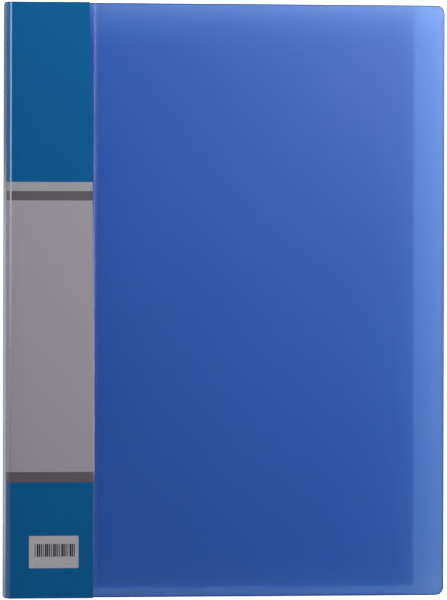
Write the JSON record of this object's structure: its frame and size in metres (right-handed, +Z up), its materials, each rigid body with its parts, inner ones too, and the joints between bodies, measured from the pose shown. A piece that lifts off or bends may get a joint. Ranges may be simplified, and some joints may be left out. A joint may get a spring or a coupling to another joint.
{
  "type": "clear pocket display book",
  "caption": "Closed A4 display book: folded translucent cover with a sleeved title card on spine and front, and clear pockets hinged on a binding strip inside the spine.",
  "frame": {"origin": "middle of the underside of the closed book lying on its back cover", "axes": "+X from the spine to the fore-edge, +Y from the tail to the head, where the pockets open, +Z up out of the front cover"},
  "size_m": [0.2354, 0.3108, 0.0164],
  "materials": {
    "cover_sheet": "satin",
    "printed_card": "matte",
    "sleeve_film": "gloss",
    "binding_strip": "satin",
    "pocket_film": "gloss"
  },
  "bodies": {
    "back_cover": {"back_cover": "cover_sheet"},
    "spine": {"spine_panel": "cover_sheet", "binding_strip": "binding_strip", "sleeve_film_spine": "sleeve_film", "sleeve_seam_rear": "sleeve_film"},
    "front_cover": {"front_cover": "cover_sheet", "sleeve_film_front": "sleeve_film", "sleeve_seam_front": "sleeve_film"},
    "card_spine": {"title_card_spine": "printed_card"},
    "card_front": {"title_card_front": "printed_card"},
    "pocket_01": {"pocket_01": "pocket_film"},
    "pocket_02": {"pocket_02": "pocket_film"},
    "pocket_03": {"pocket_03": "pocket_film"},
    "pocket_04": {"pocket_04": "pocket_film"},
    "pocket_05": {"pocket_05": "pocket_film"},
    "pocket_06": {"pocket_06": "pocket_film"},
    "pocket_07": {"pocket_07": "pocket_film"},
    "pocket_08": {"pocket_08": "pocket_film"},
    "pocket_09": {"pocket_09": "pocket_film"},
    "pocket_10": {"pocket_10": "pocket_film"},
    "pocket_11": {"pocket_11": "pocket_film"},
    "pocket_12": {"pocket_12": "pocket_film"},
    "pocket_13": {"pocket_13": "pocket_film"},
    "pocket_14": {"pocket_14": "pocket_film"},
    "pocket_15": {"pocket_15": "pocket_film"},
    "pocket_16": {"pocket_16": "pocket_film"},
    "pocket_17": {"pocket_17": "pocket_film"},
    "pocket_18": {"pocket_18": "pocket_film"},
    "pocket_19": {"pocket_19": "pocket_film"},
    "pocket_20": {"pocket_20": "pocket_film"}
  },
  "joints": [
    {"name": "rear_crease", "type": "hinge", "parent": "back_cover", "child": "spine", "pos_m": [-0.11695, 0, 0.00035], "axis": [0, -1, 0], "range_deg": [0, 90]},
    {"name": "front_crease", "type": "hinge", "parent": "spine", "child": "front_cover", "pos_m": [-0.11695, 0, 0.01565], "axis": [0, -1, 0], "range_deg": [0, 90]},
    {"name": "card_slide", "type": "slide", "parent": "spine", "child": "card_spine", "axis": [0, 1, 0], "range_m": [0, 0.311]},
    {"name": "card_fold", "type": "hinge", "parent": "card_spine", "child": "card_front", "pos_m": [-0.11695, 0, 0.01565], "axis": [0, -1, 0], "range_deg": [0, 90]},
    {"name": "pocket_01_turn", "type": "hinge", "parent": "spine", "child": "pocket_01", "pos_m": [-0.11514, 0, 0.0148], "axis": [0, -1, 0], "range_deg": [0, 90]},
    {"name": "pocket_02_turn", "type": "hinge", "parent": "spine", "child": "pocket_02", "pos_m": [-0.11488, 0, 0.01408], "axis": [0, -1, 0], "range_deg": [0, 90]},
    {"name": "pocket_03_turn", "type": "hinge", "parent": "spine", "child": "pocket_03", "pos_m": [-0.11462, 0, 0.01337], "axis": [0, -1, 0], "range_deg": [0, 90]},
    {"name": "pocket_04_turn", "type": "hinge", "parent": "spine", "child": "pocket_04", "pos_m": [-0.11436, 0, 0.01265], "axis": [0, -1, 0], "range_deg": [0, 90]},
    {"name": "pocket_05_turn", "type": "hinge", "parent": "spine", "child": "pocket_05", "pos_m": [-0.1141, 0, 0.01194], "axis": [0, -1, 0], "range_deg": [0, 90]},
    {"name": "pocket_06_turn", "type": "hinge", "parent": "spine", "child": "pocket_06", "pos_m": [-0.11384, 0, 0.01122], "axis": [0, -1, 0], "range_deg": [0, 90]},
    {"name": "pocket_07_turn", "type": "hinge", "parent": "spine", "child": "pocket_07", "pos_m": [-0.11358, 0, 0.01051], "axis": [0, -1, 0], "range_deg": [0, 90]},
    {"name": "pocket_08_turn", "type": "hinge", "parent": "spine", "child": "pocket_08", "pos_m": [-0.11332, 0, 0.00979], "axis": [0, -1, 0], "range_deg": [0, 90]},
    {"name": "pocket_09_turn", "type": "hinge", "parent": "spine", "child": "pocket_09", "pos_m": [-0.11306, 0, 0.00907], "axis": [0, -1, 0], "range_deg": [0, 90]},
    {"name": "pocket_10_turn", "type": "hinge", "parent": "spine", "child": "pocket_10", "pos_m": [-0.1128, 0, 0.00836], "axis": [0, -1, 0], "range_deg": [0, 90]},
    {"name": "pocket_11_turn", "type": "hinge", "parent": "spine", "child": "pocket_11", "pos_m": [-0.1128, 0, 0.00764], "axis": [0, -1, 0], "range_deg": [-90, 0]},
    {"name": "pocket_12_turn", "type": "hinge", "parent": "spine", "child": "pocket_12", "pos_m": [-0.11306, 0, 0.00693], "axis": [0, -1, 0], "range_deg": [-90, 0]},
    {"name": "pocket_13_turn", "type": "hinge", "parent": "spine", "child": "pocket_13", "pos_m": [-0.11332, 0, 0.00621], "axis": [0, -1, 0], "range_deg": [-90, 0]},
    {"name": "pocket_14_turn", "type": "hinge", "parent": "spine", "child": "pocket_14", "pos_m": [-0.11358, 0, 0.00549], "axis": [0, -1, 0], "range_deg": [-90, 0]},
    {"name": "pocket_15_turn", "type": "hinge", "parent": "spine", "child": "pocket_15", "pos_m": [-0.11384, 0, 0.00478], "axis": [0, -1, 0], "range_deg": [-90, 0]},
    {"name": "pocket_16_turn", "type": "hinge", "parent": "spine", "child": "pocket_16", "pos_m": [-0.1141, 0, 0.00406], "axis": [0, -1, 0], "range_deg": [-90, 0]},
    {"name": "pocket_17_turn", "type": "hinge", "parent": "spine", "child": "pocket_17", "pos_m": [-0.11436, 0, 0.00335], "axis": [0, -1, 0], "range_deg": [-90, 0]},
    {"name": "pocket_18_turn", "type": "hinge", "parent": "spine", "child": "pocket_18", "pos_m": [-0.11462, 0, 0.00263], "axis": [0, -1, 0], "range_deg": [-90, 0]},
    {"name": "pocket_19_turn", "type": "hinge", "parent": "spine", "child": "pocket_19", "pos_m": [-0.11488, 0, 0.00192], "axis": [0, -1, 0], "range_deg": [-90, 0]},
    {"name": "pocket_20_turn", "type": "hinge", "parent": "spine", "child": "pocket_20", "pos_m": [-0.11514, 0, 0.0012], "axis": [0, -1, 0], "range_deg": [-90, 0]}
  ],
  "couplings": [
    {"joint": "card_fold", "follows": "front_crease", "ratio": 1},
    {"joint": "pocket_01_turn", "follows": "front_crease", "ratio": 1},
    {"joint": "pocket_02_turn", "follows": "front_crease", "ratio": 0.992},
    {"joint": "pocket_03_turn", "follows": "front_crease", "ratio": 0.984},
    {"joint": "pocket_04_turn", "follows": "front_crease", "ratio": 0.976},
    {"joint": "pocket_05_turn", "follows": "front_crease", "ratio": 0.968},
    {"joint": "pocket_06_turn", "follows": "front_crease", "ratio": 0.96},
    {"joint": "pocket_07_turn", "follows": "front_crease", "ratio": 0.952},
    {"joint": "pocket_08_turn", "follows": "front_crease", "ratio": 0.944},
    {"joint": "pocket_09_turn", "follows": "front_crease", "ratio": 0.936},
    {"joint": "pocket_10_turn", "follows": "front_crease", "ratio": 0.928},
    {"joint": "pocket_11_turn", "follows": "rear_crease", "ratio": -0.928},
    {"joint": "pocket_12_turn", "follows": "rear_crease", "ratio": -0.936},
    {"joint": "pocket_13_turn", "follows": "rear_crease", "ratio": -0.944},
    {"joint": "pocket_14_turn", "follows": "rear_crease", "ratio": -0.952},
    {"joint": "pocket_15_turn", "follows": "rear_crease", "ratio": -0.96},
    {"joint": "pocket_16_turn", "follows": "rear_crease", "ratio": -0.968},
    {"joint": "pocket_17_turn", "follows": "rear_crease", "ratio": -0.976},
    {"joint": "pocket_18_turn", "follows": "rear_crease", "ratio": -0.984},
    {"joint": "pocket_19_turn", "follows": "rear_crease", "ratio": -0.992},
    {"joint": "pocket_20_turn", "follows": "rear_crease", "ratio": -1}
  ]
}
